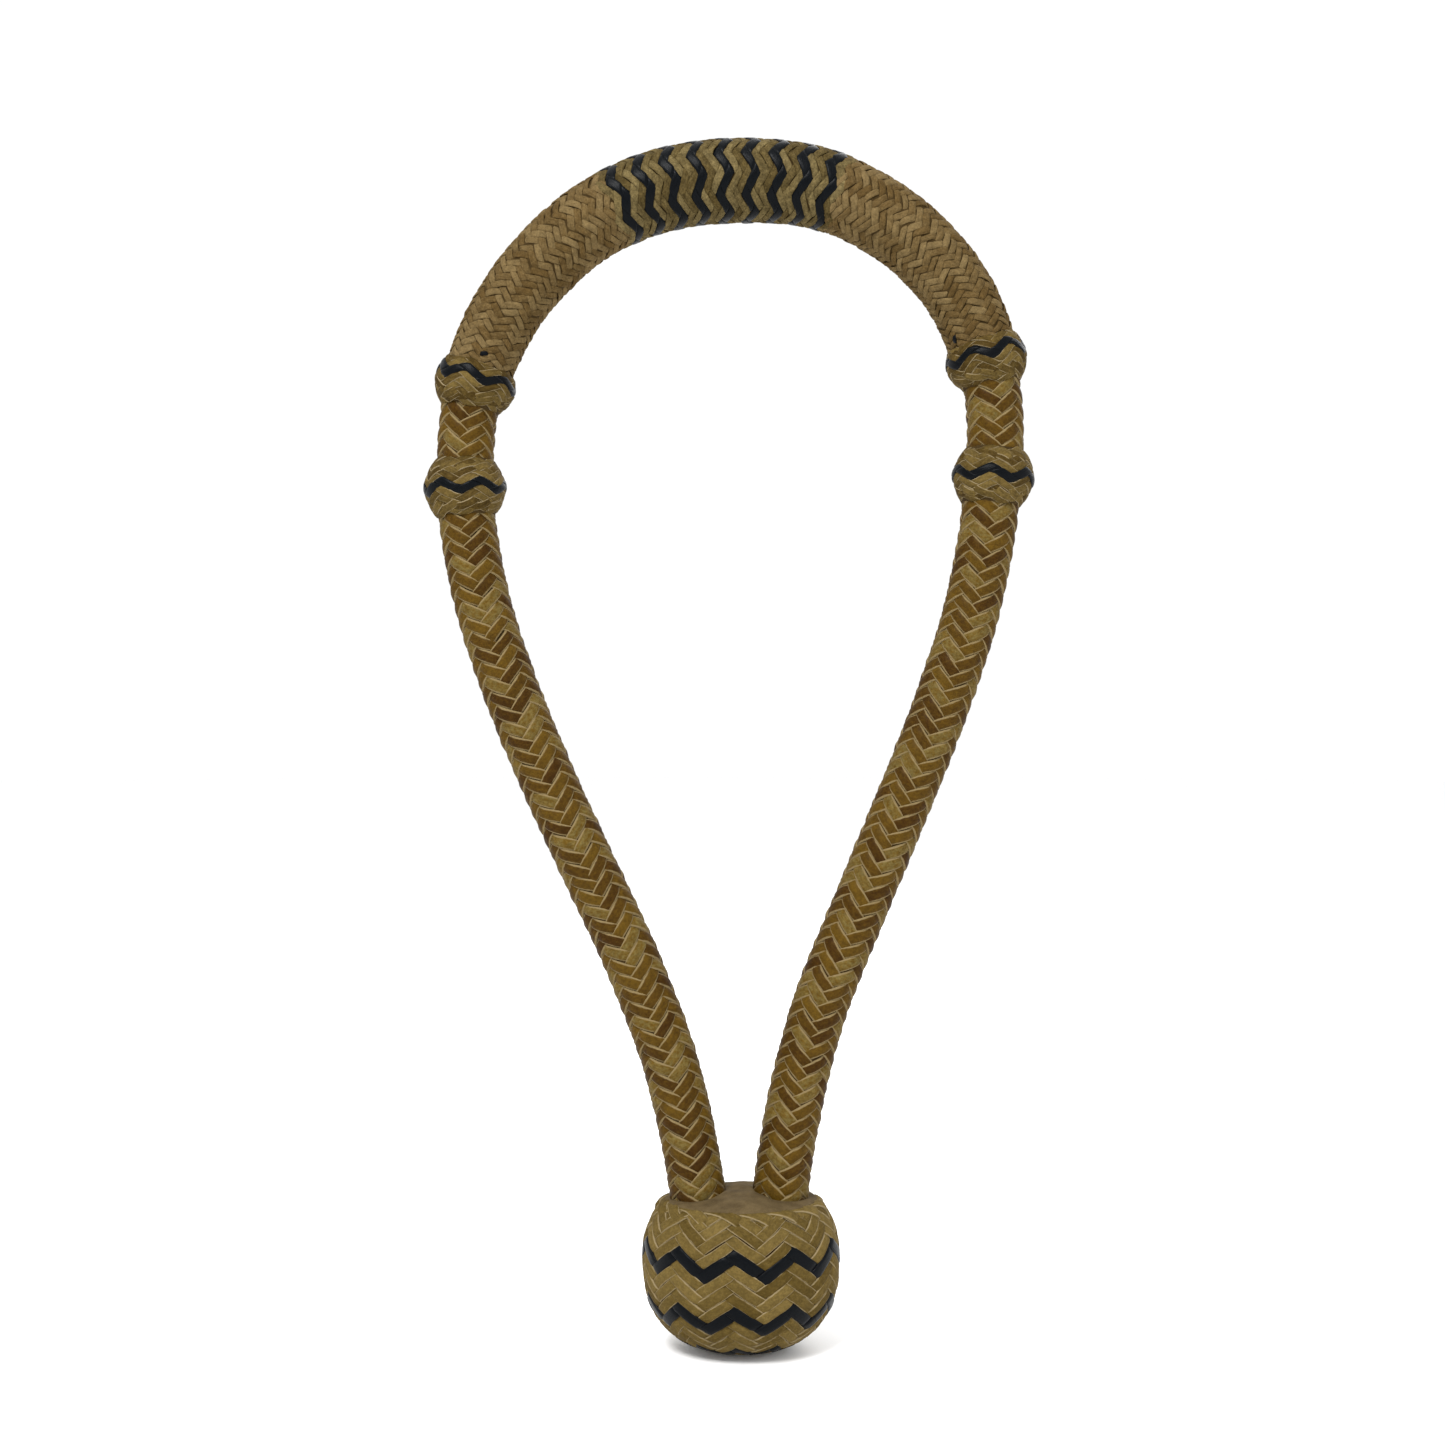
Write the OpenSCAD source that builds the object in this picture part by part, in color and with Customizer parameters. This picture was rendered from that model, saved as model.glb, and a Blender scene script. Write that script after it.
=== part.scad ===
// Bosal: the braided rawhide noseband of a hackamore, hanging with its nose button up.
// +Z up, +X to the right seen from the front, -Y towards the viewer. The origin lies on
// the inner face of the nose button, at its middle, where a horse's nose or a peg carries it.

/* [Loop] */
// Inside length of the loop, from the nose button down to the heel knot's cap
inside_length = 284; // [270:1:300]
// Diameter of the braided shank
shank_d = 16.5; // [14:0.5:17]
// Diameter of the rolled rawhide core inside the plait
core_d = 13.5; // [10:0.5:13.5]

/* [Nose button] */
// Diameter of the nose button at its middle
nose_mid_d = 25; // [23:0.5:28]
// Diameter of the nose button where it runs under the upper knots
nose_end_d = 19.8; // [18.5:0.2:21]
// Thickness of the braided cover over a foundation
cover_t = 1.3; // [1:0.1:1.5]
// Number of black rings around the middle of the nose button
nose_rings = 9; // [9]
// Distance from one black ring to the next
nose_ring_pitch = 7.65; // [7:0.05:8]

/* [Small knots] */
// Length of an upper knot along the shank
upper_knot_l = 12.5; // [11:0.5:14]
// Height of an upper knot's bulge over its seat
upper_knot_bulge = 1.1; // [0.5:0.1:1.5]
// Length of a side button along the shank
side_button_l = 16; // [15:0.5:18]
// Height of a side button's bulge over the shank
side_button_bulge = 2.1; // [1.5:0.1:3]

/* [Heel knot] */
// Width of the heel knot across both shanks
heel_w = 57.5; // [56:0.5:60]
// Depth of the heel knot from front to back
heel_depth = 46; // [44:1:50]
// Height of the heel knot's upper part, if its top were closed
heel_top_h = 24; // [23:0.5:25]
// Height of the heel knot's lower part, from its widest place to its bottom
heel_bottom_h = 27.8; // [27:0.2:29]
// Thickness of the leather cap between the shanks
cap_t = 2.4; // [1.5:0.1:3]

/* [Black strings] */
// Thickness of a black string over the cover
string_t = 0.5; // [0.3:0.1:0.8]
// Width of a black string on the nose button and the small knots
string_w = 3; // [2.4:0.1:3.2]
// Width of a black string on the heel knot, measured along the knot
heel_string_w = 4.4; // [4:0.1:5]

/* [Hidden] */

// Route of the shank's centre line in the X-Z plane, from inside the heel knot up the left
// side, over the nose and down the right side. The first and last points only steer the ends.
route = [[-9, -345], [-9, -315], [-13, -280], [-20, -247], [-31, -217], [-43.5, -190], [-56, -163],
    [-67.5, -135], [-76.5, -106], [-80.5, -76], [-77.5, -47], [-66, -22], [-47, -2], [-25, 9],
    [0, 12.5],
    [25, 9.5], [48, -3], [65, -23], [73.5, -50], [73, -80], [67.5, -112], [57.5, -143],
    [46, -172], [34, -201], [22.5, -230], [14.8, -261], [10.5, -292], [9, -320], [9, -345]];
route_inside = 284;                      // inside length that the route is drawn for
stretch = inside_length / route_inside;
spans = len(route) - 3;
nose_point = 14;                         // index of the route point at the middle of the nose
cuts = 12;                               // straight pieces to each span of the route

shank_r = shank_d / 2;
seat_r = shank_r + 0.1;                  // radius of a small knot's foundation where it ends on the shank
core_r = core_d / 2;
nose_mid_r = nose_mid_d / 2;
nose_end_r = nose_end_d / 2;
sides = 20;                              // facets around a swept piece
station_step = 10.5;                     // distance between the sections of a swept piece

// Distances along the route from the middle of the nose, negative on the left
left_end_s = -382 * stretch;
right_end_s = 380 * stretch;
left_upper_s = -106.3 * stretch;
right_upper_s = 97.3 * stretch;
left_side_s = -136 * stretch;
right_side_s = 130.5 * stretch;
nose_mid_s = (left_upper_s + right_upper_s) / 2;
nose_half_l = (right_upper_s - left_upper_s) / 2;
nose_band_s = -4.9;                      // middle of the band of black rings
ring_legs = 12;                          // straight stretches in one black ring
nose_swing = 3;                          // distance between a ring's peaks and its valleys
nose_phase = 34;                         // angle of a ring's first bend

upper_swing = 3.9;                       // swing of the black string on an upper knot
side_swing = 3.6;                        // and on a side button
upper_string_s = 1.7;                    // the black string's height over an upper knot's middle
knot_lip = 0.3;                          // height of a knot's cover at its two ends

heel_mid_z = -300.3 * stretch;           // height of the heel knot's widest place
heel_top_power = 2.2;                    // roundness of the heel knot's side, 2 is an ellipse
heel_bottom_power = 2.6;                 // squarer below the widest place
cap_share = 0.92;                        // where the shanks pass the cap, as a share of their run
heel_legs = 20;                          // straight stretches in one black string
heel_swing = 6.1;                        // distance between a string's peaks and its valleys
heel_phase = 22;                         // angle of a string's first peak
heel_cover_t = 2;                        // thickness of the heel knot's woven cover
heel_ring_pitch = 16.3;                  // distance down the side between two black strings
heel_upper_s = 1.75;                     // the upper string's height over the widest place
heel_skin = string_t + heel_cover_t;     // depth of the foundation under the black strings
binding_z = -301 * stretch;              // middle, height and thickness of the lacing inside
binding_h = 16;
binding_t = 2;
binding_gap = 0.5;                       // room between the shanks and their binding
hollow_drop = 2;                         // depth of the hollow below the binding
bore_facets = 48;                        // facets around a hole for a shank
shank_spread = 18.4;                     // distance between the shanks inside the heel knot

rawhide = [0.62, 0.46, 0.22];
natural_string = [0.60, 0.46, 0.27];
hidden_rawhide = [0.72, 0.60, 0.40];
black_string = [0.06, 0.06, 0.06];
cap_leather = [0.55, 0.42, 0.25];

// ---- the route ----

function blend(a, b, c, d, u) = 0.5 * (2 * b + (c - a) * u + (2 * a - 5 * b + 4 * c - d) * u * u
    + (3 * b - a - 3 * c + d) * u * u * u);

function on_span(i, u) = stretch * blend(route[i - 1], route[i], route[i + 1], route[i + 2], u);

fine = [for (i = [1:spans]) for (k = [0:cuts - 1]) on_span(i, k / cuts), on_span(spans, 1)];

function running(points) = [for (i = 0, s = 0; i < len(points);
    i = i + 1, s = s + (i < len(points) ? norm(points[i] - points[i - 1]) : 0)) s];

travel = running(fine);
nose_travel = travel[(nose_point - 1) * cuts];
x_table = [for (i = [0:len(fine) - 1]) [travel[i] - nose_travel, fine[i].x]];
z_table = [for (i = [0:len(fine) - 1]) [travel[i] - nose_travel, fine[i].y]];

function centre(s) = [lookup(s, x_table), lookup(s, z_table)];

function heading(s) = let (d = centre(s + 1) - centre(s - 1)) d / norm(d);

// A point at angle a around the shank: 0 on the outside of the loop, 90 on the front.
function around(s, a, r) = let (c = centre(s), t = heading(s))
    [c.x - t.y * r * cos(a), -r * sin(a), c.y + t.x * r * cos(a)];

// Moves children from their own +Z axis onto the route at s, with +X towards the outside.
module on_route(s) {
    c = centre(s);
    t = heading(s);
    translate([c.x, 0, c.y]) multmatrix([[-t.y, 0, t.x, 0], [0, -1, 0, 0], [t.x, 0, t.y, 0]]) children();
}

// ---- surfaces ----

function stations(s0, s1) = let (n = ceil((s1 - s0) / station_step))
    [for (i = [0:n]) s0 + (s1 - s0) * i / n];

function quads(first, rows, n, flip) = [for (i = [0:rows - 2]) for (k = [0:n - 1])
    let (a = first + i * n + k, b = first + i * n + (k + 1) % n, q = [a, b, b + n, a + n])
    flip ? [q[3], q[2], q[1], q[0]] : q];

// A closed skin between an outer and an inner grid of points, each a list of equal rings.
module shell(outer, inner) {
    n = len(outer[0]);
    rows = len(outer);
    count = n * rows;
    points = [for (ring = outer) each ring, for (ring = inner) each ring];
    top = [for (k = [0:n - 1]) let (a = (rows - 1) * n + k, b = (rows - 1) * n + (k + 1) % n)
        [a, b, b + count, a + count]];
    bottom = [for (k = [0:n - 1]) let (a = k, b = (k + 1) % n) [a + count, b + count, b, a]];
    polyhedron(points, concat(quads(0, rows, n, false), quads(count, rows, n, true), top, bottom));
}

// A closed solid through a list of rings.
module solid(rings) {
    n = len(rings[0]);
    rows = len(rings);
    lid = [for (k = [0:n - 1]) (rows - 1) * n + k];
    base = [for (k = [n - 1:-1:0]) k];
    polyhedron([for (ring = rings) each ring], concat(quads(0, rows, n, false), [lid, base]));
}

function ring_at(s, r) = [for (k = [0:sides - 1]) around(s, 360 * k / sides, r)];

// A strap that zigzags once around a surface. on(along, a, lift) gives a point of the surface.
module zigzag(on, along, legs, swing, width, phase) {
    bends = 3 * legs;
    function wave(k) = abs((k % 6) - 3) * 2 / 3 - 1;
    function corner(k, w, lift) = on(along + wave(k) * swing / 2 + w, phase + 360 * k / bends, lift);
    points = [for (k = [0:bends - 1]) each [corner(k, -width / 2, 0), corner(k, width / 2, 0),
        corner(k, width / 2, string_t), corner(k, -width / 2, string_t)]];
    faces = [for (k = [0:bends - 1]) for (j = [0:3])
        let (a = 4 * k, b = 4 * ((k + 1) % bends), m = (j + 1) % 4) [a + j, a + m, b + m, b + j]];
    polyhedron(points, faces);
}

// ---- shank ----

module core()
    color(hidden_rawhide)
        solid([for (s = stations(left_end_s, right_end_s)) ring_at(s, core_r)]);

module shank_plait()
    color(rawhide)
        shell([for (s = stations(left_end_s, right_end_s)) ring_at(s, shank_r)],
            [for (s = stations(left_end_s, right_end_s)) ring_at(s, core_r)]);

// ---- nose button ----

function nose_r(s) = nose_mid_r - string_t
    - (nose_mid_r - string_t - nose_end_r) * pow(abs(s - nose_mid_s) / nose_half_l, 1.2);

function nose_stations() = stations(left_upper_s, right_upper_s);

module nose_foundation()
    color(hidden_rawhide)
        shell([for (s = nose_stations()) ring_at(s, nose_r(s) - cover_t)],
            [for (s = nose_stations()) ring_at(s, shank_r)]);

module nose_button_cover()
    color(natural_string)
        shell([for (s = nose_stations()) ring_at(s, nose_r(s))],
            [for (s = nose_stations()) ring_at(s, nose_r(s) - cover_t)]);

module nose_string(number) {
    s = nose_band_s + (number - (nose_rings + 1) / 2) * nose_ring_pitch;
    color(black_string)
        zigzag(function(along, a, lift) around(along, a, nose_r(along) + lift),
            s, ring_legs, nose_swing, string_w, nose_phase);
}

// ---- small knots: u runs from -1 at the lower end of a knot to +1 at its upper end ----

function bulge_r(u, low_r, high_r, bulge) = (low_r * (1 - u) + high_r * (1 + u)) / 2
    + bulge * (1 - pow(abs(u), 1.6));

function skin_r(u, low_r, high_r, bulge) = bulge_r(u, low_r, high_r, bulge) + knot_lip
    + cover_t * (1 - pow(abs(u), 2.5));

knot_facets = 64;                        // facets around a small knot
u_steps = [-1, -0.9, -0.75, -0.5, -0.25, 0, 0.25, 0.5, 0.75, 0.9, 1];

// The woven skin of a knot, from its foundation's surface outwards.
module knot_cover(length, low_r, high_r, bulge) {
    outer = [for (u = u_steps) [skin_r(u, low_r, high_r, bulge), u * length / 2]];
    inner = [for (i = [len(u_steps) - 1:-1:0]) let (u = u_steps[i])
        [bulge_r(u, low_r, high_r, bulge), u * length / 2]];
    color(natural_string)
        rotate_extrude($fn = knot_facets)
            polygon(concat(outer, inner));
}

module knot_string(length, low_r, high_r, bulge, rise, swing, peak)
    color(black_string)
        zigzag(function(along, a, lift) let (r = skin_r(2 * along / length, low_r, high_r, bulge) + lift)
            [r * cos(a), r * sin(a), along],
            rise, ring_legs, swing, string_w, peak);

// A wound ring between the shank and the cover, clear of the nose button's end above its middle.
module upper_foundation() {
    lower = [for (u = u_steps) if (u <= 0)
        [bulge_r(u, seat_r, nose_end_r, upper_knot_bulge), u * upper_knot_l / 2]];
    color(hidden_rawhide)
        rotate_extrude($fn = knot_facets)
            polygon(concat(lower, [[shank_r, 0], [shank_r, -upper_knot_l / 2]]));
}

module side_foundation() {
    outer = [for (u = u_steps) [bulge_r(u, seat_r, seat_r, side_button_bulge), u * side_button_l / 2]];
    color(hidden_rawhide)
        rotate_extrude($fn = knot_facets)
            polygon(concat(outer, [[shank_r, side_button_l / 2], [shank_r, -side_button_l / 2]]));
}

// Turns a knot's own axis so that its upper end points up the shank on either side.
module knot_at(s)
    on_route(s)
        rotate([s > 0 ? 180 : 0, 0, 0])
            children();

module upper_cover() knot_cover(upper_knot_l, seat_r, nose_end_r, upper_knot_bulge);
module upper_string(peak) knot_string(upper_knot_l, seat_r, nose_end_r, upper_knot_bulge,
    upper_string_s, upper_swing, peak);
module side_cover() knot_cover(side_button_l, seat_r, seat_r, side_button_bulge);
module side_string(peak) knot_string(side_button_l, seat_r, seat_r, side_button_bulge,
    0, side_swing, peak);

module left_upper_foundation() knot_at(left_upper_s) upper_foundation();
module left_upper_cover() knot_at(left_upper_s) upper_cover();
module left_upper_string() knot_at(left_upper_s) upper_string(14.5);
module right_upper_foundation() knot_at(right_upper_s) upper_foundation();
module right_upper_cover() knot_at(right_upper_s) upper_cover();
module right_upper_string() knot_at(right_upper_s) upper_string(-52);
module left_side_foundation() knot_at(left_side_s) side_foundation();
module left_side_cover() knot_at(left_side_s) side_cover();
module left_side_string() knot_at(left_side_s) side_string(54);
module right_side_foundation() knot_at(right_side_s) side_foundation();
module right_side_cover() knot_at(right_side_s) side_cover();
module right_side_string() knot_at(right_side_s) side_string(-35);

// ---- heel knot ----

heel_sides = 36;                         // facets around the heel knot
cap_s = 15.2;                            // height of the cap's seat up the side
cover_top_s = 17;                        // height of the cover's upper edge up the side
heel_levels = [-41, -35, -29, -22, -15, -8, 0, 6, 11, cap_s, cover_top_s];
side_steps = 24;                         // stretches of the side's outline above and below its widest place
side_turn = 86.4;                        // angle of the outline's two ends, just short of closing

// A point of the knot's side as [half width, height] at angle a above or below its widest place.
function heel_turn(a, h, power) = [heel_w / 2 * pow(cos(a), 2 / power),
    sign(a) * h * pow(abs(sin(a)), 2 / power)];

heel_side = [for (k = [-side_steps:side_steps]) let (a = side_turn * k / side_steps)
    k < 0 ? heel_turn(a, heel_bottom_h, heel_bottom_power) : heel_turn(a, heel_top_h, heel_top_power)];
heel_travel = running(heel_side);
heel_half_table = [for (i = [0:2 * side_steps]) [heel_travel[i] - heel_travel[side_steps], heel_side[i].x]];
heel_z_table = [for (i = [0:2 * side_steps]) [heel_travel[i] - heel_travel[side_steps], heel_side[i].y]];

// A point of the knot's side, along mm up its side from the widest place, at angle a,
// sunk towards the knot's middle by depth.
function heel_point(along, a, depth) = let (k = 1 - 2 * depth / heel_w,
    half = k * lookup(along, heel_half_table))
    [half * cos(a), -half * heel_depth / heel_w * sin(a), heel_mid_z + k * lookup(along, heel_z_table)];

function heel_ring(along, depth) = [for (k = [0:heel_sides - 1])
    heel_point(along, 360 * k / heel_sides, depth)];

// Outline of the two shanks side by side with a margin around them.
module twin(margin) {
    r = shank_r + margin;
    for (side = [-1, 1])
        translate([side * shank_spread / 2, 0]) circle(r = r, $fn = bore_facets);
    square([shank_spread, 2 * r], center = true);
}

// The lacing that ties both ends together, wound tight around them.
module heel_binding()
    color(hidden_rawhide)
        translate([0, 0, binding_z - binding_h / 2])
            linear_extrude(binding_h)
                difference() {
                    twin(binding_t + binding_gap);
                    twin(binding_gap);
                }

// The wound filling that gives the knot its shape, with a hollow for the tied ends.
module heel_foundation()
    color(hidden_rawhide)
        difference() {
            solid([for (s = heel_levels) if (s <= cap_s) heel_ring(s, heel_skin)]);
            translate([0, 0, binding_z - binding_h / 2 - hollow_drop])
                linear_extrude(heel_top_h + heel_bottom_h)
                    twin(binding_t + binding_gap);
        }

// The plain leather cap on top of the knot, with a hole for each shank.
module heel_cap()
    color(cap_leather)
        difference() {
            translate([0, 0, heel_ring(cap_s, heel_skin)[0].z])
                linear_extrude(cap_t)
                    polygon([for (p = heel_ring(cover_top_s, heel_skin)) [p.x, p.y]]);
            for (s = [left_end_s * cap_share, right_end_s * cap_share])
                on_route(s) cylinder(r = shank_r + 0.1, h = 3 * shank_d, center = true, $fn = bore_facets);
        }

module heel_cover()
    color(natural_string)
        shell([for (s = heel_levels) heel_ring(s, string_t)],
            [for (s = heel_levels) heel_ring(s, heel_skin)]);

module heel_string(number)
    color(black_string)
        zigzag(function(along, a, lift) heel_point(along, a, string_t - lift),
            heel_upper_s - number * heel_ring_pitch, heel_legs, heel_swing, heel_string_w, heel_phase);

module heel_string_upper() heel_string(0);
module heel_string_middle() heel_string(1);
module heel_string_lower() heel_string(2);

core();
shank_plait();
nose_foundation();
nose_button_cover();
nose_string(1);  // nose_string_1
nose_string(2);  // nose_string_2
nose_string(3);  // nose_string_3
nose_string(4);  // nose_string_4
nose_string(5);  // nose_string_5
nose_string(6);  // nose_string_6
nose_string(7);  // nose_string_7
nose_string(8);  // nose_string_8
nose_string(9);  // nose_string_9
left_upper_foundation();
left_upper_cover();
left_upper_string();
right_upper_foundation();
right_upper_cover();
right_upper_string();
left_side_foundation();
left_side_cover();
left_side_string();
right_side_foundation();
right_side_cover();
right_side_string();
heel_binding();
heel_foundation();
heel_cap();
heel_cover();
heel_string_upper();
heel_string_middle();
heel_string_lower();
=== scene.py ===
"""Visual model of a braided rawhide bosal: every woven surface is built string by string."""

from collections import namedtuple
import math

import bmesh
import bpy
import numpy as np
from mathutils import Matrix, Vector


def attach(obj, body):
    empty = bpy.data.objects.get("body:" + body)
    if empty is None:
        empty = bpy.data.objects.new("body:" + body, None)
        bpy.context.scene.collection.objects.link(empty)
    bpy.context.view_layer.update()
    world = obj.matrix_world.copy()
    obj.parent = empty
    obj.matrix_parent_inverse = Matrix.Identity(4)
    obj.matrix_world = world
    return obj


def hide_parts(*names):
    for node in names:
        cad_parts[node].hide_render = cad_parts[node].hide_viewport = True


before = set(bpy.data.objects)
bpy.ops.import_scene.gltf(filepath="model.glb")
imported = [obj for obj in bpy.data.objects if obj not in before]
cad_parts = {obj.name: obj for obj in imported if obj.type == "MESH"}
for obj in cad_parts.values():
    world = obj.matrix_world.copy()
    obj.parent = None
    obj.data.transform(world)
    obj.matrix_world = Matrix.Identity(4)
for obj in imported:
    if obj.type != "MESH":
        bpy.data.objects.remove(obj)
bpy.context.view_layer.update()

MM = 0.001
TURN = 2 * math.pi
rng = np.random.default_rng(7)

# ---------------------------------------------------------------- driving dimensions (mm)

# Centre line of the shank in the X-Z plane, as in the CAD source: from inside the heel knot
# up the left side, over the nose and down the right side.
ROUTE = np.array([
    (-9, -345), (-9, -315), (-13, -280), (-20, -247), (-31, -217), (-43.5, -190), (-56, -163),
    (-67.5, -135), (-76.5, -106), (-80.5, -76), (-77.5, -47), (-66, -22), (-47, -2), (-25, 9),
    (0, 12.5),
    (25, 9.5), (48, -3), (65, -23), (73.5, -50), (73, -80), (67.5, -112), (57.5, -143),
    (46, -172), (34, -201), (22.5, -230), (14.8, -261), (10.5, -292), (9, -320), (9, -345)], float)
NOSE_POINT = 14                           # index of the point where distances start from 0
CUTS = 24                                 # steps of the smooth line from point to point

SHANK_R = 8.25
NOSE_MID_R, NOSE_END_R = 12.0, 9.9
NOSE_TAPER = 1.2                          # 1 for a straight taper, more for a fuller one
UPPER_KNOTS = (-106.3, 97.3)              # places along the route
SIDE_BUTTONS = (-136.0, 130.5)
HEEL_W, HEEL_DEPTH = 57.5, 46.0
HEEL_TOP_H, HEEL_BOTTOM_H = 24.0, 27.8    # above and below the widest place
HEEL_TOP_POWER, HEEL_BOTTOM_POWER = 2.2, 2.6
HEEL_MID_Z = -300.3
SHOULDER = 14.6                           # height over the widest place where the side turns in
SHOULDER_R = 3.0
RIM_LIP, RIM_DIP = 1.3, 0.35              # how far the rim runs on over the cap, and its slope
CAP_Z = -285.0                            # the cap's leather, where it lies flat
CAP_REACH = 21.8                          # its half width, out to under the rim's strings


# ---------------------------------------------------------------- the route

def spline(points):
    """A smooth curve through all but the first and last of the points."""
    u = np.linspace(0, 1, CUTS, endpoint=False)[:, None]
    spans = []
    for a, b, c, d in zip(points, points[1:], points[2:], points[3:]):
        spans.append(0.5 * (2 * b + (c - a) * u + (2 * a - 5 * b + 4 * c - d) * u ** 2
                            + (3 * b - a - 3 * c + d) * u ** 3))
    return np.vstack(spans + [points[-2:-1]])


def travel(points):
    """Distance run along a line of points."""
    return np.concatenate([[0], np.cumsum(np.hypot(*np.diff(points, axis=0).T))])


LINE = spline(ROUTE)
LINE_S = travel(LINE)
LINE_S -= LINE_S[(NOSE_POINT - 1) * CUTS]
LINE_T = np.gradient(LINE, LINE_S, axis=0)
LINE_T /= np.hypot(*LINE_T.T)[:, None]


def around_route(s, a, r):
    """Points at distance s along the route, angle a from the outside, radius r."""
    cx, cz = (np.interp(s, LINE_S, LINE[:, i]) for i in (0, 1))
    tx, tz = (np.interp(s, LINE_S, LINE_T[:, i]) for i in (0, 1))
    return np.stack([cx - tz * r * np.cos(a), -r * np.sin(a), cz + tx * r * np.cos(a)], -1)


# ---------------------------------------------------------------- surfaces: on(s, a, lift)

def shank_surface(s, a, lift):
    return around_route(s, a, SHANK_R + lift)


NOSE_MID_S = sum(UPPER_KNOTS) / 2
NOSE_HALF = (UPPER_KNOTS[1] - UPPER_KNOTS[0]) / 2


def nose_surface(s, a, lift):
    share = np.abs(s - NOSE_MID_S) / NOSE_HALF
    r = NOSE_MID_R - (NOSE_MID_R - NOSE_END_R) * share ** NOSE_TAPER
    return around_route(s, a, r + lift)


def normals(profile):
    """Unit normals on the outer side of a profile that runs along its second axis."""
    d = np.gradient(profile, axis=0)
    n = np.stack([d[:, 1], -d[:, 0]], -1)
    return n / np.hypot(*n.T)[:, None]


KNOT_ROWS = 121                           # points along a small knot's profile, an odd number
KNOT_REACH = 1.06                         # half lengths that the profile runs each way
KNOT_SKIN = 0.45                          # what the strings add to the radius at a knot's ends
KNOT_CROWN = 1.25                         # what they add to the bulge at its middle
KNOT_POWER = 1.55                         # 2 for a parabola, less for a more pointed middle
KNOT_SOFTNESS = 0.01                      # rounds the point off


def knot_surface(mid_s, low_r, high_r, bulge, length, sign):
    """A ring knot's skin. Its own s runs up the skin, with 0 at the widest place."""
    u = np.linspace(-KNOT_REACH, KNOT_REACH, KNOT_ROWS)
    base = (low_r * (1 - u) + high_r * (1 + u)) / 2
    swell = 1 - np.sqrt(u ** 2 + KNOT_SOFTNESS) ** KNOT_POWER
    r = base + KNOT_SKIN + (bulge + KNOT_CROWN) * swell
    profile = np.stack([r, u * length / 2], -1)
    run = travel(profile)
    run -= run[KNOT_ROWS // 2]
    n = normals(profile)

    def on(s, a, lift):
        r_at = np.interp(s, run, profile[:, 0]) + lift * np.interp(s, run, n[:, 0])
        off = np.interp(s, run, profile[:, 1]) + lift * np.interp(s, run, n[:, 1])
        return around_route(mid_s + sign * off, a, r_at)
    return on, run[0], run[-1]


HEEL_ROWS = 441                           # points up the heel knot's side, an odd number
HEEL_ARC = 88                             # angle of its ends from the widest place (degrees)
RIM_ROWS = 24


def heel_profile():
    """The heel knot's side, from near its bottom to its rim, as half widths and heights."""
    a = np.radians(np.linspace(-HEEL_ARC, HEEL_ARC, HEEL_ROWS))
    power = np.where(a < 0, HEEL_BOTTOM_POWER, HEEL_TOP_POWER)
    high = np.where(a < 0, HEEL_BOTTOM_H, HEEL_TOP_H)
    half = np.cos(a) ** (2 / power) * HEEL_W / 2
    side = np.stack([half, np.sign(a) * np.abs(np.sin(a)) ** (2 / power) * high], -1)
    side = side[side[:, 1] < SHOULDER]
    inward, up = side[-1] - side[-2]
    slope = math.atan2(up, -inward)
    turn = slope - np.linspace(0, slope + RIM_DIP, RIM_ROWS)[1:]
    bend = np.stack([np.sin(turn) - math.sin(slope), np.cos(turn) - math.cos(slope)], -1)
    rim = side[-1] + SHOULDER_R * bend
    lip = rim[-1] - RIM_LIP * np.array([math.cos(RIM_DIP), math.sin(RIM_DIP)])
    return np.vstack([side, rim, lip])


HEEL = heel_profile()
HEEL_S = travel(HEEL)
HEEL_S -= HEEL_S[HEEL_ROWS // 2]
RIM = HEEL_S[-1]                          # distance from the widest place up to the rim
HEEL_N = normals(HEEL)


def heel_surface(s, a, lift):
    """The heel knot's skin, oval in section; angle 90 degrees is the front."""
    half = np.interp(s, HEEL_S, HEEL[:, 0])
    z = np.interp(s, HEEL_S, HEEL[:, 1])
    n_out, n_up = (np.interp(s, HEEL_S, HEEL_N[:, i]) for i in (0, 1))
    x = (half + lift * n_out) * np.cos(a)
    y = -(half * HEEL_DEPTH / HEEL_W + lift * n_out) * np.sin(a)
    return np.stack([x, y, HEEL_MID_Z + z + lift * n_up], -1)


# ---------------------------------------------------------------- the lattice of a braid

# One place where a string shows. Family 1 strings climb towards greater angles, family 0
# strings fall. start is the crossing where the leg begins, ring the zigzag it belongs to,
# and s the distance of its middle up the surface.
Leg = namedtuple("Leg", "family string start ring s")


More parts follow.
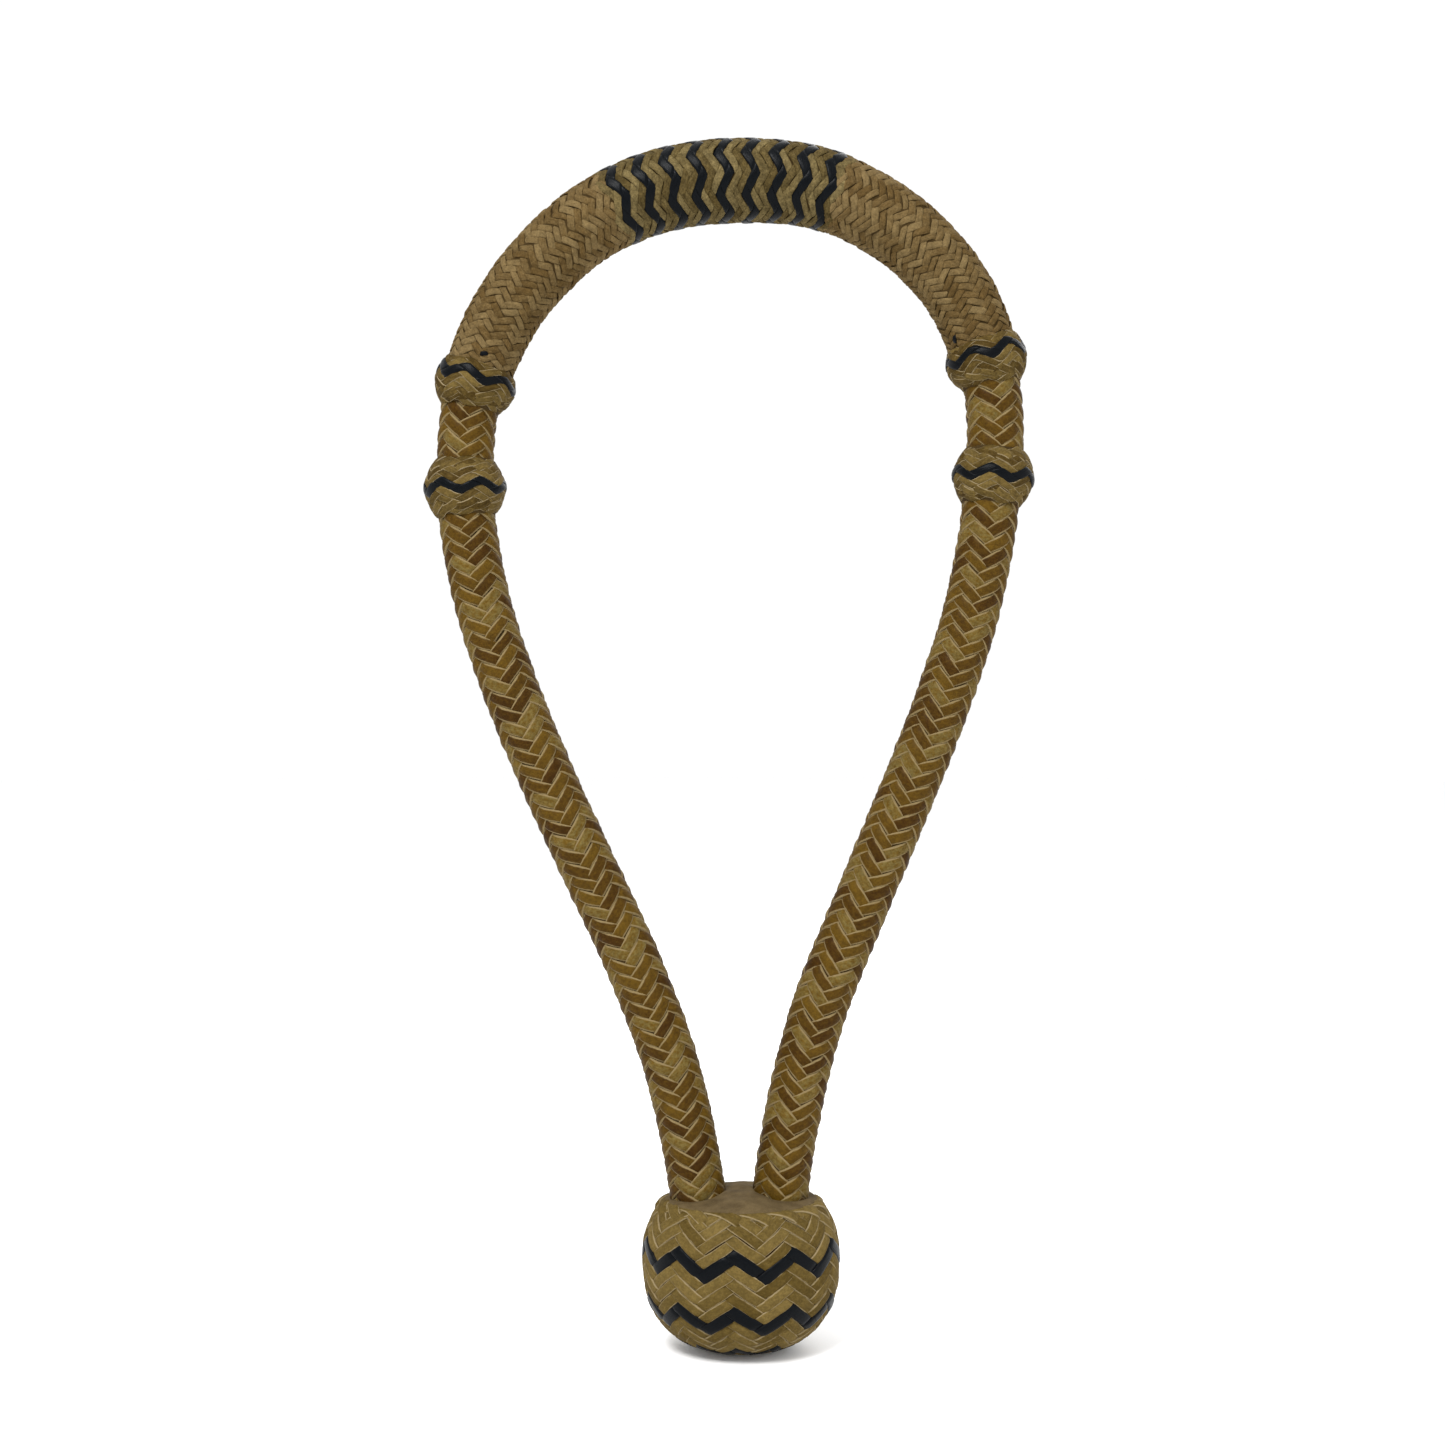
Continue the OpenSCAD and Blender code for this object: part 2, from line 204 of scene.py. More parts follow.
class Weave:
    """A herringbone braid on a surface, as one leg for each place a string shows.

    units    crossings around the surface
    over     crossings that a string passes over before it dives
    pitch    distance along the surface between neighbouring strings (mm)
    thick    thickness of a string (mm)
    phase    angle that the pattern is turned by (degrees)
    shift    distance up the surface of the middle of ring 0 (mm)
    owner    1 if the falling strings show whole at the peaks of a ring, -1 if the rising ones do
    sway     swing of a ring over what the crossings give it, in mm and as a function of s
    """

    def __init__(self, units, over, pitch, thick, phase=0.0, shift=0.0, owner=1, sway=None):
        self.units, self.over, self.pitch, self.thick = units, over, pitch, thick
        self.phase, self.owner, self.sway = math.radians(phase), owner, sway
        self.origin = shift - (over / 4 + (0.5 if owner > 0 else 0)) * pitch

    def legs(self, low, high):
        """Every leg whose middle lies between low and high."""
        found = []
        for column in range(self.units // self.over):
            found += self.column_legs(column, low, high)
        return found

    def column_legs(self, column, low, high):
        """The legs of one column: they lie above each other, at one angle.

        offset takes a string's number to the height of its leg's middle, in pitches, and pair
        takes the two legs that make up a ring's zigzag to the same ring.
        """
        family = column % 2
        before = column * self.over
        half = self.over / 2
        offset = (before + half + 0.5) / 2 if family else 0.75 - (before + half) / 2
        pair = 0.25 if family else (0.75 if self.owner > 0 else -0.25)
        first = math.ceil((low - self.origin) / self.pitch - offset)
        last = math.floor((high - self.origin) / self.pitch - offset)
        found = []
        for string in range(first, last + 1):
            start = string + before if family else string - before - self.over + 1
            middle = string + offset
            ring = middle - self.over / 4 - pair
            found.append(Leg(family, string, start, ring, middle * self.pitch + self.origin))
        return found

    def place(self, along, across, family):
        """Lattice coordinates to distance and angle on the surface."""
        p = np.where(family, along, across)
        q = np.where(family, across, along)
        s = (p + q) * self.pitch / 2 + self.origin
        if self.sway:
            wave = 1 - 2 * np.abs(((p - q + 0.5) / self.over + 1) % 2 - 1)
            s = s + wave * self.sway(s) / 2
        return s, (p - q) * TURN / self.units + self.phase


# ---------------------------------------------------------------- meshes of strings

# Section of a string, in units of its half width and thickness: flat, with bevelled edges
SECTION_X = np.array([-1, -1, -0.86, -0.45, 0.45, 0.86, 1, 1])
SECTION_H = np.array([-0.5, 0.2, 0.42, 0.5, 0.5, 0.42, 0.2, -0.5])
CROWN = np.array([0, -0.12, -0.04, 0.12, 0.12, -0.04, -0.12, 0])    # added to round it

# How much strings differ. In a weave: width as a share, place and ends in crossings, tilt and
# lift as shares of the thickness. In bights: reach and width as shares, rise and lift in mm.
LEG_JITTER = dict(width=0.04, place=0.03, end=0.04, tilt=0.07, lift=0.06)
BIGHT_JITTER = dict(reach=0.06, rise=0.12, width=0.05, lift=0.04)
# A woven string also wanders to the side: how far, and the angle by which this wave moves on
# for each crossing along a string and from one string to the next
WANDER, WANDER_ALONG, WANDER_STRING = 0.025, 2.1, 1.7
GRAIN_LENGTH = 400                        # each string's grain starts at random within this


def each(values):
    """One value per strip, shaped to spread over strips x stations x section points."""
    return np.asarray(values, float)[:, None, None]


def draw_jitter(sizes, count, rough=1.0):
    """Random differences between strips: one value each for every kind in sizes."""
    draws = rng.normal(size=(len(sizes), count))[:, :, None, None] * rough
    return {kind: size * draw for (kind, size), draw in zip(sizes.items(), draws)}


def new_mesh(name, points, corners, starts):
    """A mesh from flat lists of the faces' corners and of where each face starts."""
    mesh = bpy.data.meshes.new(name)
    mesh.vertices.add(len(points))
    mesh.vertices.foreach_set("co", (points * MM).astype(np.float32).ravel())
    mesh.loops.add(len(corners))
    mesh.loops.foreach_set("vertex_index", corners.astype(np.int32))
    mesh.polygons.add(len(starts))
    mesh.polygons.foreach_set("loop_start", starts.astype(np.int32))
    mesh.update(calc_edges=True)
    mesh.validate()
    return mesh


def strip_mesh(name, grid, **layers):
    """One mesh of closed strips. grid is strips x stations x section points x 3, in mm.

    layers are values for the materials to read, each spread over the grid's points.
    """
    ring = grid.shape[2]
    index = np.arange(grid[..., 0].size).reshape(grid.shape[:3])
    a = index[:, :-1]
    b = index[:, 1:]
    quads = np.stack([a, np.roll(a, -1, 2), np.roll(b, -1, 2), b], -1).reshape(-1, 4)
    caps = np.concatenate([index[:, 0, ::-1], index[:, -1]])
    corners = np.concatenate([quads.ravel(), caps.ravel()])
    cap_starts = len(quads) * 4 + np.arange(len(caps)) * ring
    starts = np.concatenate([np.arange(len(quads)) * 4, cap_starts])
    mesh = new_mesh(name, grid.reshape(-1, 3), corners, starts)
    for layer_name, values in dict(layers, across=SECTION_X).items():
        layer = mesh.attributes.new(layer_name, "FLOAT", "POINT")
        spread = np.broadcast_to(values, index.shape).ravel()
        layer.data.foreach_set("value", np.ascontiguousarray(spread, dtype=np.float32))
    return mesh


def link_mesh(name, mesh):
    """A new smooth object with its faces turned outwards."""
    mesh.polygons.foreach_set("use_smooth", np.ones(len(mesh.polygons), bool))
    shell = bmesh.new()
    shell.from_mesh(mesh)
    bmesh.ops.recalc_face_normals(shell, faces=shell.faces)
    shell.to_mesh(mesh)
    shell.free()
    piece = bpy.data.objects.new(name, mesh)
    bpy.context.collection.objects.link(piece)
    return piece


def woven(name, weave, on, legs, width, lift=0.0, rough=1.0, pale=None, stations=9,
          crown=0.0, ramp=0.45):
    """Builds the chosen legs of a weave.

    width    share of the pitch that a string fills
    lift     height over the surface (mm)
    rough    scale of the jitter
    pale     for each leg, whether its string is a pale one
    stations points along a leg, besides two at each end
    crown    0 for a flat string, 1 for a rounded one
    ramp     crossings over which a string comes up at each end of a leg
    """
    count = len(legs)
    string = each([leg.string for leg in legs])
    start = each([leg.start for leg in legs])
    t = np.linspace(-ramp, weave.over + ramp, stations + 4)[None, :, None]
    edge = np.minimum(t, weave.over - t)
    height = np.sin(np.clip(edge / ramp, -1, 1) * math.pi / 2) * weave.thick / 2
    jitter = draw_jitter(LEG_JITTER, count, rough)
    along = start + t + jitter["end"]
    wander = WANDER * rough * np.sin(along * WANDER_ALONG + string * WANDER_STRING)
    centre = string + 0.5 + jitter["place"] + wander
    across = centre + width / 2 * (1 + jitter["width"]) * SECTION_X
    section = SECTION_H + crown * CROWN + (jitter["tilt"] * SECTION_X + jitter["lift"])
    s, a = weave.place(along, across, each([leg.family for leg in legs]))
    grid = on(s, a, lift + height + weave.thick * (section - 1))
    run = (along - start) * weave.pitch + each(rng.random(count)) * GRAIN_LENGTH
    layers = dict(run=run, tone=each(rng.random(count)))
    if pale is not None:
        layers["pale"] = each(pale)
    return link_mesh(name, strip_mesh(name, grid, **layers))


BIGHT_STATIONS = 13
BIGHT_CURVE = 1.8                         # 2 for a parabola, less for a more pointed arc
BIGHT_LAP = 0.55                          # thicknesses that one end rises and the other sinks
BIGHT_DIVE = 1.2                          # thicknesses that both cut ends dive, at the very end


def bights(name, on, radius, count, span, rim, drop, width, thick, phase=0.0, lift=0.0):
    """The turns of the strings along a knot's edge: a ring of arcs, each lapped over the next.

    radius   of the surface there (mm)
    span     angle that one turn takes (degrees)
    rim      height of the arcs' tops up the surface (mm)
    drop     how far their ends lie below, or above if it is negative (mm)
    phase    angle of the middle of the first arc (degrees)
    """
    sign = 1 if drop > 0 else -1
    t = np.linspace(-1, 1, BIGHT_STATIONS)[None, :, None]
    jitter = draw_jitter(BIGHT_JITTER, count)
    middle = each(np.radians(phase) + np.arange(count) * TURN / count)
    half = math.radians(span) / 2 * (1 + jitter["reach"])
    a = middle + t * half
    s = rim - drop * np.abs(t) ** BIGHT_CURVE + jitter["rise"]
    bend = -drop * BIGHT_CURVE * np.sign(t) * np.abs(t) ** (BIGHT_CURVE - 1)
    slope = bend / (half * radius)
    size = np.sqrt(1 + slope ** 2)
    off = SECTION_X * width / 2 * (1 + jitter["width"])
    dive = BIGHT_LAP * t * sign + BIGHT_DIVE * t ** 10
    height = lift + thick * (SECTION_H - 0.5 - dive) + jitter["lift"]
    grid = on(s + off / size, a - off * slope / size / radius, height)
    run = t * half * radius + each(rng.random(count)) * GRAIN_LENGTH
    return link_mesh(name, strip_mesh(name, grid, run=run, tone=each(rng.random(count))))


SLEEVE_WALL = 0.3


def sleeve(name, on, low, high, depth, rows=40, sides=72):
    """The strings' lower layer, seen only between them: a thin tube under the surface, in a dark
    colour that is painted shade.
    """
    s = np.concatenate([np.linspace(low, high, rows), np.linspace(high, low, rows)])[:, None]
    a = np.linspace(0, TURN, sides, endpoint=False)[None, :]
    under = np.where(np.arange(2 * rows) < rows, -depth, -depth - SLEEVE_WALL)[:, None]
    grid = on(*np.broadcast_arrays(s, a, under))
    index = np.arange(2 * rows * sides).reshape(2 * rows, sides)
    turned = np.roll(index, -1, 1)
    faces = np.stack([index, turned, np.roll(turned, -1, 0), np.roll(index, -1, 0)], -1)
    mesh = bpy.data.meshes.new(name)
    mesh.from_pydata((grid.reshape(-1, 3) * MM).tolist(), [], faces.reshape(-1, 4).tolist())
    finish_piece(link_mesh(name, mesh), UNDER_SHADE, "hidden_rawhide")


# ---------------------------------------------------------------- materials

class Nodes:
    """Short names for building a material's node tree."""

    def __init__(self, name):
        self.material = bpy.data.materials.new(name)
        self.material.use_nodes = True
        self.tree = self.material.node_tree
        self.shader = self.tree.nodes["Principled BSDF"]

    def add(self, kind, **values):
        """A new node. Values are its properties, or else its inputs' names and values."""
        node = self.tree.nodes.new(kind)
        for key, value in values.items():
            if hasattr(node, key):
                setattr(node, key, value)
            else:
                node.inputs[key.title()].default_value = value
        return node

    def link(self, source, target):
        self.tree.links.new(source, target)

    def feed(self, socket, value):
        """Gives a socket a number, a colour or another node's output."""
        if isinstance(value, (int, float)):
            socket.default_value = value
        elif isinstance(value, tuple):
            socket.default_value = (*value, 1)
        else:
            self.link(value, socket)

    def place(self):
        """Coordinates on the whole object, in metres."""
        return self.add("ShaderNodeTexCoord").outputs["Object"]

    def attribute(self, name):
        return self.add("ShaderNodeAttribute", attribute_name=name).outputs["Fac"]

    def maths(self, operation, a, b=0.0):
        node = self.add("ShaderNodeMath", operation=operation)
        self.feed(node.inputs[0], a)
        self.feed(node.inputs[1], b)
        return node.outputs[0]

    def blend(self, a, share_a, b, share_b):
        """The sum of a share of each of two values."""
        return self.maths("ADD", self.maths("MULTIPLY", a, share_a),
                          self.maths("MULTIPLY", b, share_b))

    def ramp(self, factor, low, high, bottom=0.0, top=1.0):
        """Gives bottom where factor is low, top where it is high, and a slope between."""
        node = self.add("ShaderNodeValToRGB")
        stops = zip(node.color_ramp.elements, (low, high), (bottom, top))
        for element, position, value in stops:
            element.position = position
            element.color = (value, value, value, 1)
        self.link(factor, node.inputs[0])
        return node.outputs[0]

    def mix(self, factor, a, b, blend="MIX"):
        node = self.add("ShaderNodeMix", data_type="RGBA", blend_type=blend)
        for number, value in ((0, factor), (6, a), (7, b)):     # 6 and 7 take its colours
            self.feed(node.inputs[number], value)
        return node.outputs[2]

    def noise(self, vector, scale, detail=4.0):
        node = self.add("ShaderNodeTexNoise", scale=scale, detail=detail, roughness=0.6)
        self.link(vector, node.inputs["Vector"])
        return node.outputs["Fac"]

    def paint(self, colour, rough, specular):
        """Gives the shader its colour, roughness and one even specular level."""
        self.link(colour, self.shader.inputs["Base Color"])
        self.link(rough, self.shader.inputs["Roughness"])
        self.shader.inputs["Specular IOR Level"].default_value = specular

    def bump(self, height, strength, distance):
        node = self.add("ShaderNodeBump", strength=strength, distance=distance)
        self.link(height, node.inputs["Height"])
        self.link(node.outputs[0], self.shader.inputs["Normal"])


GRAIN_STRETCH, STREAK_STRETCH = 3.0, 9.0  # mm along a string for each half width across it
TONE_STEP = 40.0                          # keeps the grain of one string unlike the next one's
MOTTLE_SCALE, SPECK_SCALE = 420.0, 1900.0    # patches about 2 mm and 0.5 mm across
FRAY, EDGE_FADE = 0.35, 0.14              # unevenness and softness of the edges' inner side
DRY_ROUGH, GLOSS_SMOOTHING = 0.6, 0.35    # least roughness of a dry string, less by this
DRY_SPECULAR, GLOSS_SPECULAR = 0.02, 0.04    # for a glossy one, which has more specular
STRING_BUMP, BLACK_BUMP, LEATHER_BUMP = 0.00012, 0.00015, 0.0001    # in metres
FINE_GRAIN = 14                           # times as fine as a leather's mottle


def string_vector(n, stretch):
    """Coordinates along and across a string, drawn out along it by stretch."""
    node = n.add("ShaderNodeCombineXYZ")
    n.link(n.maths("DIVIDE", n.attribute("run"), stretch), node.inputs[0])
    n.link(n.attribute("across"), node.inputs[1])
    n.link(n.maths("MULTIPLY", n.attribute("tone"), TONE_STEP), node.inputs[2])
    return node.outputs[0]


def string_material(name, deep, body, edge, gloss, edge_from, fuzz, relief=0.5, pale=None):
    """A cut rawhide string: a face with grain along it, and edges of another colour.

    deep, body   colours of its face, the darkest and the lightest
    edge         colour of its edges: pale cut edges, or on the nose dark painted shade of the gaps
    gloss        0 for dry, 1 for glossy
    edge_from    where the edges start, from 0 in the middle of the string to 1 at its side
    fuzz         strength of the mottle and the specks
    relief       strength of the bump
    pale         lightest colour of the pale strings, on a piece that has any
    """
    n = Nodes(name)
    place = n.place()
    grain = n.noise(string_vector(n, GRAIN_STRETCH), scale=2.2)
    streaks = n.noise(string_vector(n, STREAK_STRETCH), scale=5.0, detail=3.0)
    mottle = n.noise(place, MOTTLE_SCALE, detail=3.0)
    specks = n.noise(place, SPECK_SCALE, detail=3.0)
    shade = n.blend(grain, 0.6, n.attribute("tone"), 0.4)
    colour = n.mix(n.ramp(shade, 0.3, 0.72), deep, body)
    if pale:
        lighter = n.mix(n.ramp(grain, 0.35, 0.65), body, pale)
        colour = n.mix(n.attribute("pale"), colour, lighter)
    patches = n.ramp(mottle, 0.38, 0.62, 1 - fuzz * 0.7, 1 + fuzz * 0.4)
    colour = n.mix(1.0, colour, patches, "MULTIPLY")
    colour = n.mix(1.0, colour, n.ramp(specks, 0.32, 0.68, 1 - fuzz, 1 + fuzz), "MULTIPLY")
    # The edge colour: pale cut edges on most strings, painted shade of the gaps between strings on
    # the nose's
    fray = n.maths("MULTIPLY", n.maths("SUBTRACT", streaks, 0.5), FRAY)
    rim = n.maths("ADD", n.maths("ABSOLUTE", n.attribute("across")), fray)
    rim = n.ramp(rim, edge_from, edge_from + EDGE_FADE)
    rough = n.maths("ADD", n.blend(streaks, 0.3, rim, 0.25), DRY_ROUGH - gloss * GLOSS_SMOOTHING)
    n.paint(n.mix(rim, colour, edge), rough, DRY_SPECULAR + gloss * GLOSS_SPECULAR)
    n.bump(n.blend(streaks, 0.5, specks, 0.5), relief, STRING_BUMP)
    return n.material


def black_material():
    """Black dyed strings with a worn satin face."""
    n = Nodes("black_rawhide")
    streaks = n.noise(string_vector(n, 6.0), scale=6.0, detail=3.0)
    worn = n.ramp(streaks, 0.35, 0.75)
    colour = n.mix(worn, (0.0008, 0.0013, 0.002), (0.002, 0.003, 0.0042))
    rim = n.ramp(n.maths("ABSOLUTE", n.attribute("across")), 0.88, 0.99)
    rough = n.maths("ADD", n.maths("MULTIPLY", streaks, 0.3), 0.2)
    n.paint(n.mix(rim, colour, (0.006, 0.006, 0.007)), rough, 0.06)
    n.bump(streaks, 0.5, BLACK_BUMP)
    return n.material


def plain_leather(name, dark, light, scale):
    """Fine-grained leather or rawhide without string coordinates."""
    n = Nodes(name)
    place = n.place()
    mottle = n.noise(place, scale, detail=5.0)
    fine = n.noise(place, scale * FINE_GRAIN, detail=3.0)
    shade = n.blend(mottle, 0.7, fine, 0.3)
    rough = n.maths("ADD", n.maths("MULTIPLY", fine, 0.2), 0.7)
    n.paint(n.mix(n.ramp(shade, 0.35, 0.65), dark, light), rough, 0.05)
    n.bump(fine, 0.5, LEATHER_BUMP)
    return n.material


# Semi-gloss amber rawhide of the shank
RAWHIDE = string_material(
    "shank_rawhide", deep=(0.031, 0.013, 0.001), body=(0.075, 0.041, 0.004),
    edge=(0.165, 0.121, 0.056), pale=(0.108, 0.078, 0.023), gloss=0.7, edge_from=0.68, fuzz=0.18)
# Drier, suede-like rawhide between the black rings of the nose button; its edge colour is painted
# gap shade
NATURAL = string_material(
    "nose_rawhide", deep=(0.052, 0.036, 0.012), body=(0.110, 0.083, 0.035),
    edge=(0.040, 0.027, 0.010), gloss=0.0, edge_from=0.92, fuzz=0.36, relief=0.9)
# The nose button past the black rings: warmer, and smoother from wear; its edge colour is painted
# gap shade
NATURAL_ENDS = string_material(
    "nose_rawhide_worn", deep=(0.066, 0.040, 0.013), body=(0.124, 0.086, 0.037),
    edge=(0.022, 0.013, 0.004), gloss=0.0, edge_from=0.90, fuzz=0.22, relief=0.9)
# Broad, fairly smooth strings of the heel knot
HEEL_STRING = string_material(
    "heel_rawhide", deep=(0.062, 0.040, 0.009), body=(0.119, 0.082, 0.025),
    edge=(0.215, 0.166, 0.089), gloss=0.25, edge_from=0.81, fuzz=0.18)
# Narrower strings of the small knots, darker and with more contrast than the heel's
KNOT = string_material(
    "knot_rawhide", deep=(0.040, 0.024, 0.005), body=(0.100, 0.068, 0.020),
    edge=(0.195, 0.152, 0.086), gloss=0.25, edge_from=0.78, fuzz=0.24)
BLACK = black_material()
CAP = plain_leather("cap_leather", (0.056, 0.038, 0.017), (0.110, 0.078, 0.037), 220.0)
# Dark rawhide of the strings' lower layer and of the hidden core: painted shade, as dark as
# strings in shadow
UNDER_SHADE = plain_leather("inner_rawhide_painted_shade", (0.024, 0.014, 0.004), (0.045, 0.028, 0.009), 300.0)


def finish_piece(piece, material, slot, *nodes):
    """Material and body of a piece, and the CAD nodes that it stands for, which are hidden. slot
    is not used.
    """
    piece.data.materials.append(material)
    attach(piece, "root")
    if nodes:
        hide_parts(*nodes)


# ---------------------------------------------------------------- the shank's plait

PLAIT_WEAVE = dict(units=16, over=2, pitch=4.44, thick=0.95)
PLAIT_STRINGS = dict(width=1.0, crown=1.0, ramp=0.6)
PLAIT_SLEEVE = dict(depth=0.75, rows=160)
# Name, angle of the pattern, and where the plait starts and stops along the route: just under
# the cap's leather at the heel, and just inside the nose button.
PLAITS = (("plait_left", 90 - 33.75, -358.0, -96), ("plait_right", 90 + 11.25, 88, 358.0))
PLAIT_REPEAT = 8                          # strings until the pattern of pale ones comes again
PALE_RISING, PALE_FALLING = (0, 1), (2, 5)


def is_pale(leg):
    """Whether a leg of the plait is one of a pale string."""
    return leg.string % PLAIT_REPEAT in (PALE_RISING if leg.family else PALE_FALLING)


def build_shank():
    """Both sides of the shank. The V of the plait points to the heel knot on both."""
    for name, phase, low, high in PLAITS:
        weave = Weave(phase=phase, **PLAIT_WEAVE)
        legs = weave.legs(low, high)
        pale = [is_pale(leg) for leg in legs]
        piece = woven(name, weave, shank_surface, legs, pale=pale, **PLAIT_STRINGS)
        finish_piece(piece, RAWHIDE, "shank_rawhide", "shank_plait")
        sleeve(name + "_under", shank_surface, low - 3, high + 3, **PLAIT_SLEEVE)


# ---------------------------------------------------------------- the nose button

NOSE_WEAVE = dict(over=2, thick=0.72, phase=34.5)
BAND_UNITS, BAND_PITCH = 24, 2.55
BAND_STRINGS = dict(width=1.0, rough=1.5, stations=7, crown=0.5)
BAND_BLACK = dict(width=1.2, lift=0.14, ramp=0.22)
BAND_S = -4.9                             # middle of the band of black rings
BAND_EDGE = 13.5                          # in strings, from the middle of the band to its edge
BAND_SWAY, BAND_SWAY_REACH = 0.9, 35      # its size and how far it lasts along the route (mm)
BAND_RINGS = range(-4, 5)
RING_STEP = 3                             # strings from one black ring to the next
ENDS_UNITS, ENDS_PITCH = 32, 2.5
ENDS_STRINGS = dict(width=0.98, lift=-0.2, rough=1.8, stations=7, crown=0.7)
ENDS_OVERLAP = 1.5                        # how far inside the band's edge they start (mm)
NOSE_SLEEVE = dict(depth=0.6, rows=80)


def band_sway(s):
    """Extra swing of the rings, widest near the middle of the band."""
    return BAND_SWAY * np.exp(-(s / BAND_SWAY_REACH) ** 2)


def build_band():
    """The middle of the nose button, with its black rings."""
    weave = Weave(BAND_UNITS, pitch=BAND_PITCH, shift=BAND_S, sway=band_sway, **NOSE_WEAVE)
    legs = [leg for leg in weave.legs(*UPPER_KNOTS) if abs(leg.ring) < BAND_EDGE]
    black = {RING_STEP * k for k in BAND_RINGS}
    plain = [leg for leg in legs if round(leg.ring) not in black]
    piece = woven("nose_button_braid", weave, nose_surface, plain, **BAND_STRINGS)
    finish_piece(piece, NATURAL, "natural_string", "nose_button_cover")
    for number, k in enumerate(BAND_RINGS, 1):
        ring = [leg for leg in legs if round(leg.ring) == RING_STEP * k]
        piece = woven(f"nose_black_{number}", weave, nose_surface, ring, **BAND_BLACK)
        finish_piece(piece, BLACK, "black_string", f"nose_string_{number}")


def build_nose_ends():
    """The finer braid past the band. Its first strings run in under the band's."""
    weave = Weave(ENDS_UNITS, pitch=ENDS_PITCH, shift=BAND_S, **NOSE_WEAVE)
    reach = BAND_EDGE * BAND_PITCH - ENDS_OVERLAP
    ends = [leg for leg in weave.legs(*UPPER_KNOTS) if abs(leg.s - BAND_S) > reach]
    piece = woven("nose_button_ends", weave, nose_surface, ends, **ENDS_STRINGS)
    finish_piece(piece, NATURAL_ENDS, "natural_string")
    sleeve("nose_button_under", nose_surface, *UPPER_KNOTS, **NOSE_SLEEVE)


# Name, place along the route, angle around it, direction, length and width
TUCKED_ENDS = (
    ("tucked_end_left", -97.3, 97.5, 65, 2.6, 1.2),
    ("tucked_end_right", 88.2, 143, 15, 2.9, 1.1),
)
TUCKED_THICK = 0.5
TUCKED_LIFT, TUCKED_DIVE = 0.28, 0.6      # height of the middle, and how far both ends sink
TUCKED_NARROWING = 0.6                    # share of the width squared that is lost at both ends


def tucked_end(name, s, a, turn, length, width):
    """The end of a black string, tucked into the nose button's braid next to an upper knot."""
    t = np.linspace(-1, 1, 9)[None, :, None]
    along = t * length / 2
    off = SECTION_X * width / 2 * np.sqrt(1 - TUCKED_NARROWING * t ** 4)
    turn = math.radians(turn)
    s_at = s + along * math.cos(turn) - off * math.sin(turn)
    a_at = math.radians(a) + (along * math.sin(turn) + off * math.cos(turn)) / NOSE_END_R
    lift = TUCKED_LIFT - TUCKED_DIVE * t ** 2 + TUCKED_THICK * (SECTION_H - 0.5)
    grid = nose_surface(s_at, a_at, lift)
    mesh = strip_mesh(name, grid, run=along, tone=0.0)
    finish_piece(link_mesh(name, mesh), BLACK, "black_string")


# ---------------------------------------------------------------- small knots

# Name, place along the route, radius under the upper end, bulge, length, angle of the
# black string's first peak, rise of that string above the knot's middle, and extra swing
SMALL_KNOTS = (
    ("left_upper", UPPER_KNOTS[0], NOSE_END_R, 1.1, 12.5, 14.5, 2.6, 1.4),
    ("right_upper", UPPER_KNOTS[1], NOSE_END_R, 1.1, 12.5, 52, 2.5, 1.9),
    ("left_side", SIDE_BUTTONS[0], SHANK_R, 2.1, 16, 54, -0.3, 1.1),
    ("right_side", SIDE_BUTTONS[1], SHANK_R, 2.1, 16, 35, 0.0, 1.1),
)
KNOT_UNITS = 24
KNOT_WEAVE = dict(over=2, pitch=2.5, thick=0.65)
KNOT_STRINGS = dict(width=1.02, rough=1.3, stations=7, crown=0.4)
KNOT_BLACK = dict(width=1.2, lift=0.16, ramp=0.22)
KNOT_SWAY_REACH = 5                       # how far the extra swing lasts up the skin (mm)
KNOT_TURNS = dict(radius=9.6, count=12, span=62, thick=0.6)
# How far in from the knot's end the turns lie, and their drop, width and lift
WIDE_TURNS = (2.4, 2.2, 2.3, 0.0)
SLIM_TURNS = (0.9, 1.2, 1.6, -0.25)       # these stay clear of the peaks of a high black string
HIGH_RISE = 1                             # rise from which a black string counts as high
KNOT_SLEEVE, SLEEVE_INSET = dict(depth=0.55), 0.8


def knot_turns(name, on, edge, up, peak, shape):
    """The turns at one end of a small knot. up is 1 at its high end and -1 at its low one."""
    inset, drop, width, lift = shape
    end = "high" if up > 0 else "low"
    piece = bights(f"{name}_bights_{end}", on, rim=edge - up * inset, drop=up * drop,
                   width=width, phase=peak, lift=lift, **KNOT_TURNS)
    finish_piece(piece, KNOT, "natural_string")


def build_knot(name, mid_s, high_r, bulge, length, peak, rise, swing):
    """A ring knot of plain strings with one black one. Its high end is towards the nose."""
    sign = 1 if mid_s < 0 else -1
    on, low, high = knot_surface(mid_s, SHANK_R, high_r, bulge, length, sign)
    weave = Weave(KNOT_UNITS, phase=peak + 180 / KNOT_UNITS, shift=rise,
                  sway=lambda s: swing * np.exp(-(s / KNOT_SWAY_REACH) ** 2), **KNOT_WEAVE)
    legs = weave.legs(low, high)
    plain = [leg for leg in legs if round(leg.ring) != 0]
    ring = [leg for leg in legs if round(leg.ring) == 0]
    piece = woven(f"{name}_braid", weave, on, plain, **KNOT_STRINGS)
    finish_piece(piece, KNOT, "natural_string", f"{name}_cover")
    piece = woven(f"{name}_black", weave, on, ring, **KNOT_BLACK)
    finish_piece(piece, BLACK, "black_string", f"{name}_string")
    knot_turns(name, on, low, -1, peak, WIDE_TURNS)
    knot_turns(name, on, high, 1, peak, SLIM_TURNS if rise > HIGH_RISE else WIDE_TURNS)
    sleeve(f"{name}_under", on, low + SLEEVE_INSET, high - SLEEVE_INSET, **KNOT_SLEEVE)


# ---------------------------------------------------------------- heel knot

